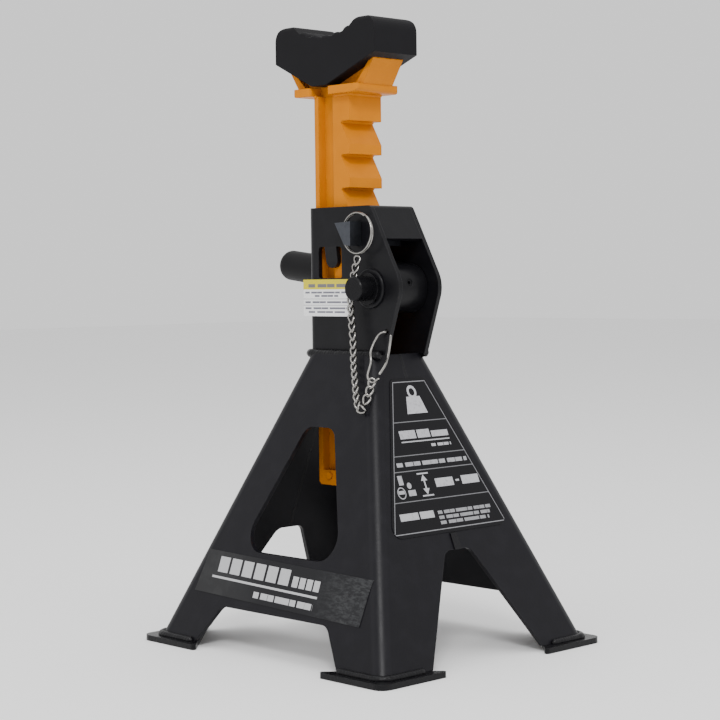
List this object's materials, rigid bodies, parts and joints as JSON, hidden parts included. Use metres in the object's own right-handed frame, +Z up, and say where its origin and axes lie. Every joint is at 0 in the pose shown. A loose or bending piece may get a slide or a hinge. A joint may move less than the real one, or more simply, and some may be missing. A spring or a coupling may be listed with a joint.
{
  "type": "axle jack stand",
  "caption": "Four-legged sheet-steel jack stand with a toothed sliding post, lever pawl, chained lock pin and a rubber saddle pad.",
  "frame": {"origin": "on the ground under the middle of the base", "axes": "+Z up; +X towards the post's teeth and the open side of the collar; -Y towards the side with the lock pin and the chain"},
  "size_m": [0.1856, 0.1618, 0.3275],
  "materials": {
    "black_paint": "satin black powder coat",
    "black_satin": "blackened steel",
    "weld_black": "painted weld bead",
    "orange_paint": "semi-gloss orange-yellow paint",
    "rubber_black": "matt moulded rubber",
    "grip_black": "matt",
    "pin_steel": "cut steel bar",
    "nickel_wire": "bright nickel plate",
    "label_dark": "printed vinyl",
    "label_white": "printed vinyl"
  },
  "bodies": {
    "stand": {"base_half_front": "black_paint", "base_half_rear": "black_paint", "base_seam_welds": "weld_black", "foot_plate_front_left": "black_paint", "foot_plate_front_right": "black_paint", "foot_plate_rear_left": "black_paint", "foot_plate_rear_right": "black_paint", "foot_welds": "weld_black", "collar_channel": "black_paint", "collar_cover": "black_paint", "collar_weld": "weld_black", "pivot_boss_front": "black_paint", "pivot_boss_rear": "black_paint", "band_label": "label_dark", "info_label": "label_dark", "caution_label": "label_white"},
    "post": {"ratchet_post": "orange_paint", "post_stop_pin": "pin_steel", "saddle_cradle": "orange_paint", "cradle_weld": "orange_paint", "saddle_pad": "rubber_black"},
    "lever": {"lever_rod": "black_satin", "lever_grip": "grip_black", "thrust_ring": "black_satin", "pawl": "black_satin", "pawl_pin": "black_satin"},
    "pin": {"lock_pin": "pin_steel", "split_ring": "nickel_wire"},
    "long_strand": {"chain_long": "nickel_wire"},
    "clip": {"chain_short": "nickel_wire", "snap_clip": "nickel_wire", "clip_clasp": "nickel_wire"}
  },
  "joints": [
    {"name": "post_slide", "type": "slide", "parent": "stand", "child": "post", "axis": [0, 0, 1], "range_m": [-0.0525, 0.0875]},
    {"name": "lever_pivot", "type": "hinge", "parent": "stand", "child": "lever", "pos_m": [0.0207, 0, 0.1874], "axis": [0, 1, 0], "range_deg": [-12.5, 10]},
    {"name": "pin_slide", "type": "slide", "parent": "stand", "child": "pin", "axis": [0, -1, 0], "range_m": [0, 0.03]},
    {"name": "strand_swing", "type": "hinge", "parent": "pin", "child": "long_strand", "pos_m": [0.0164, -0.0206, 0.2056], "axis": [1, 0, 0], "range_deg": [-1, 22]},
    {"name": "clip_swing", "type": "hinge", "parent": "stand", "child": "clip", "pos_m": [0.0317, -0.01435, 0.1652], "axis": [1, 0, 0], "range_deg": [-3.5, 1]}
  ],
  "couplings": [
    {"joint": "strand_swing", "follows": "pin_slide", "rad_per_m": 12.124},
    {"joint": "clip_swing", "follows": "pin_slide", "rad_per_m": -1.431}
  ]
}
